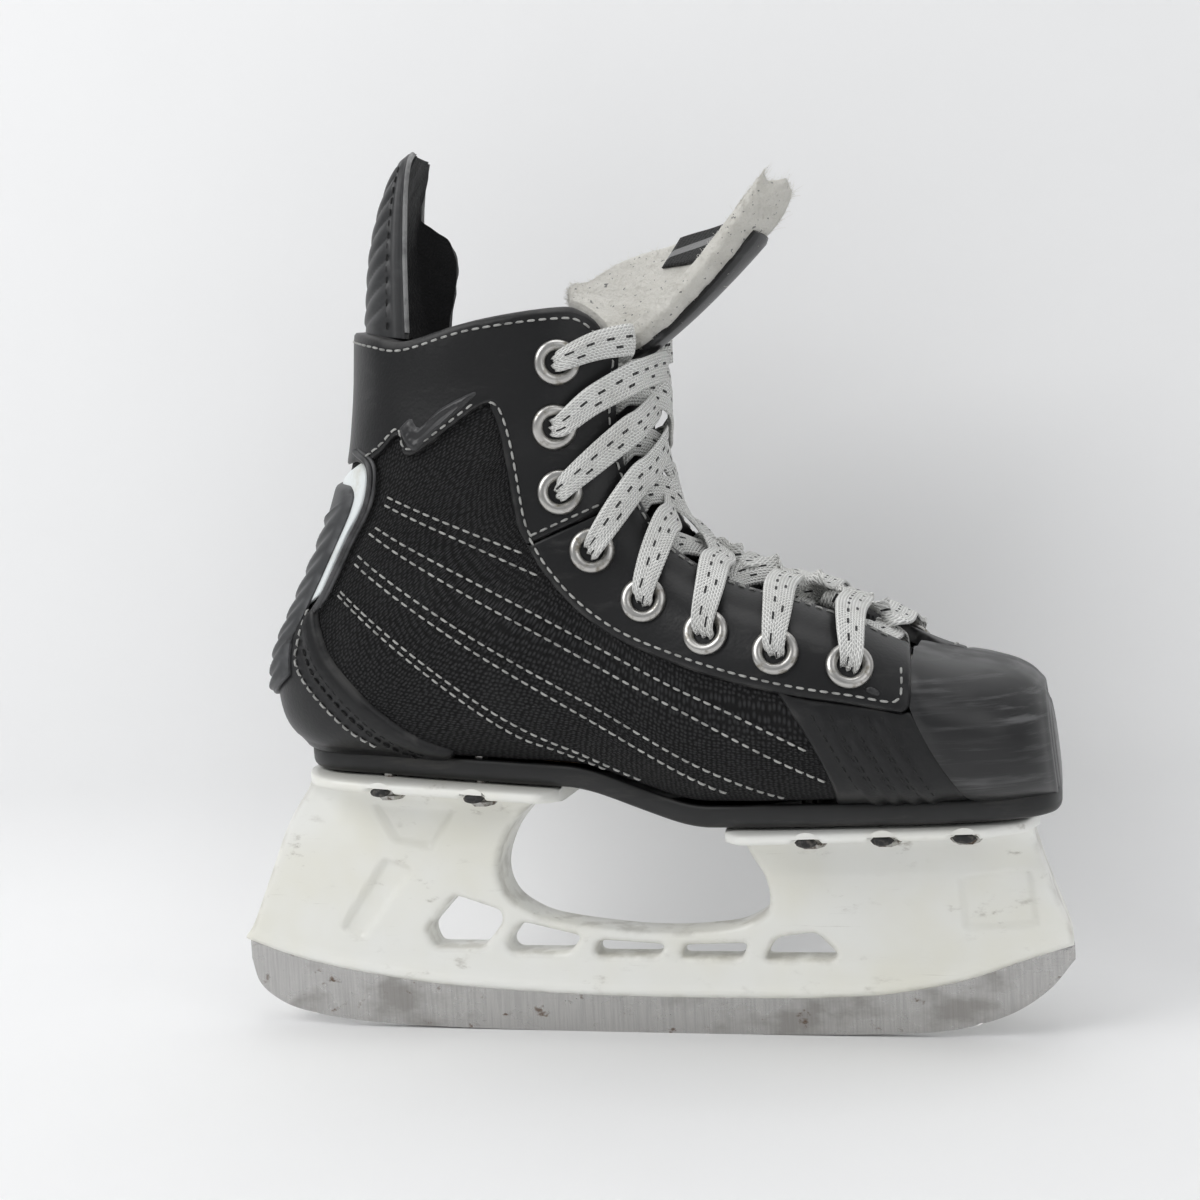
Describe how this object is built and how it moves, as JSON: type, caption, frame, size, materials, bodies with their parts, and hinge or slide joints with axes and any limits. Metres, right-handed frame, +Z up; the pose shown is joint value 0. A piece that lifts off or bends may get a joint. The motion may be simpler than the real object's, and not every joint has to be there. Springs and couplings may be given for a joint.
{
  "type": "ice hockey skate",
  "caption": "Laced ice hockey skate boot with steel runner, moulded blade holder, felt tongue and flexing tendon guard.",
  "frame": {"origin": "on the ice under the middle of the runner, centred across the boot's width", "axes": "+X towards the toe, +Z up, +Y towards the medial (inner) side of this boot, the lateral side faces -Y"},
  "size_m": [0.229, 0.0841, 0.24],
  "materials": {
    "runner_steel": "ground and honed stainless steel, worn and lightly scratched",
    "fastener_steel": "plain zinc-plated steel",
    "rivet_steel": "dull steel with a little rust",
    "eyelet_nickel": "nickel plating, scratched",
    "holder_plastic": "off-white moulded nylon, satin, yellowed and scuffed",
    "sole_plastic": "black moulded plate",
    "board": "brown fibre board",
    "cork": "ground cork filler",
    "footbed_foam": "fabric-topped foam",
    "toe_plastic": "black moulded toe box, scuffed grey",
    "black_leather": "black synthetic leather, satin, creased",
    "black_nylon": "black ballistic nylon weave",
    "white_plastic": "white moulded insert",
    "grey_moulding": "dark grey moulding, satin",
    "rib_panel": "black ribbed moulding",
    "brushed_lining": "black brushed synthetic lining",
    "liner_fabric": "black woven liner",
    "foam": "grey padding foam",
    "tongue_felt": "off-white wool felt, fibrous",
    "tongue_vinyl": "black vinyl facing",
    "label_tape": "black woven tape",
    "lace_cotton": "off-white cotton braid with a dark tracer thread"
  },
  "bodies": {
    "skate": {"ankle_pad_lateral": "foam", "ankle_pad_medial": "foam", "collar_lateral": "black_leather", "collar_medial": "black_leather", "eyelet_lateral_1": "eyelet_nickel", "eyelet_lateral_2": "eyelet_nickel", "eyelet_lateral_3": "eyelet_nickel", "eyelet_lateral_4": "eyelet_nickel", "eyelet_lateral_5": "eyelet_nickel", "eyelet_lateral_6": "eyelet_nickel", "eyelet_lateral_7": "eyelet_nickel", "eyelet_lateral_8": "eyelet_nickel", "eyelet_medial_1": "eyelet_nickel", "eyelet_medial_2": "eyelet_nickel", "eyelet_medial_3": "eyelet_nickel", "eyelet_medial_4": "eyelet_nickel", "eyelet_medial_5": "eyelet_nickel", "eyelet_medial_6": "eyelet_nickel", "eyelet_medial_7": "eyelet_nickel", "eyelet_medial_8": "eyelet_nickel", "eyestay_lateral": "black_leather", "eyestay_medial": "black_leather", "footbed": "footbed_foam", "heel_band": "black_leather", "heel_counter": "grey_moulding", "heel_insert": "white_plastic", "holder": "holder_plastic", "insole_board": "board", "lace": "lace_cotton", "liner": "liner_fabric", "outsole": "sole_plastic", "quarter_lateral": "black_nylon", "quarter_medial": "black_nylon", "rivet_01": "rivet_steel", "rivet_02": "rivet_steel", "rivet_03": "rivet_steel", "rivet_04": "rivet_steel", "rivet_05": "rivet_steel", "rivet_06": "rivet_steel", "rivet_07": "rivet_steel", "rivet_08": "rivet_steel", "rivet_09": "rivet_steel", "rivet_10": "rivet_steel", "runner": "runner_steel", "runner_bolt_front": "fastener_steel", "runner_bolt_rear": "fastener_steel", "runner_nut_front": "fastener_steel", "runner_nut_rear": "fastener_steel", "sole_filler": "cork", "toe_cap": "toe_plastic", "tongue_facing_lower": "tongue_vinyl", "tongue_felt_lower": "tongue_felt", "vamp_lateral": "black_leather", "vamp_medial": "black_leather"},
    "tongue_top": {"tongue_felt_upper": "tongue_felt", "tongue_facing_upper": "tongue_vinyl", "tongue_label": "label_tape"},
    "tendon_guard": {"guard_shell": "grey_moulding", "guard_rib_panel": "rib_panel", "guard_lining": "brushed_lining"}
  },
  "joints": [
    {"name": "tongue_flex", "type": "hinge", "parent": "skate", "child": "tongue_top", "pos_m": [0.0105, 0, 0.182], "axis": [0, 1, 0], "range_deg": [-12, 10], "stiffness_Nm_per_rad": 0.3},
    {"name": "tendon_guard_flex", "type": "hinge", "parent": "skate", "child": "tendon_guard", "pos_m": [-0.0685, 0, 0.193], "axis": [0, -1, 0], "range_deg": [0, 25], "stiffness_Nm_per_rad": 0.8}
  ]
}
